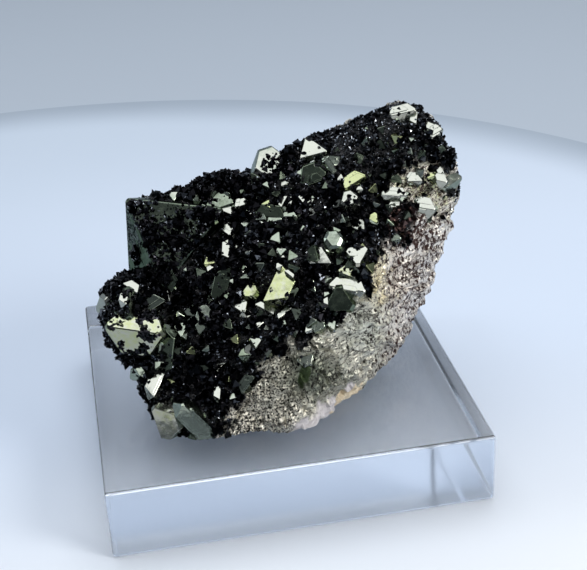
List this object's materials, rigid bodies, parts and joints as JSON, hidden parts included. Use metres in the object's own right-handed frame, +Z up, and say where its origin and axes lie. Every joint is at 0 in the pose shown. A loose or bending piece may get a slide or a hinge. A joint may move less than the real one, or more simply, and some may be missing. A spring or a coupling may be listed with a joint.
{
  "type": "mineral specimen on a clear block",
  "caption": "Leaning piece of metallic ore, its display face crusted with octahedral crystals, standing on a low clear square block.",
  "frame": {"origin": "centre of the clear block's underside, on the surface it stands on", "axes": "+Z up; the crystal face looks towards -Y, leaning back and a little to the left; +X to the right along the block's front edge"},
  "size_m": [0.0534, 0.05, 0.0449],
  "materials": {
    "ore": "satin",
    "clear_acrylic": "polished"
  },
  "bodies": {
    "root": {"specimen": "ore", "acrylic_block": "clear_acrylic"}
  },
  "joints": []
}
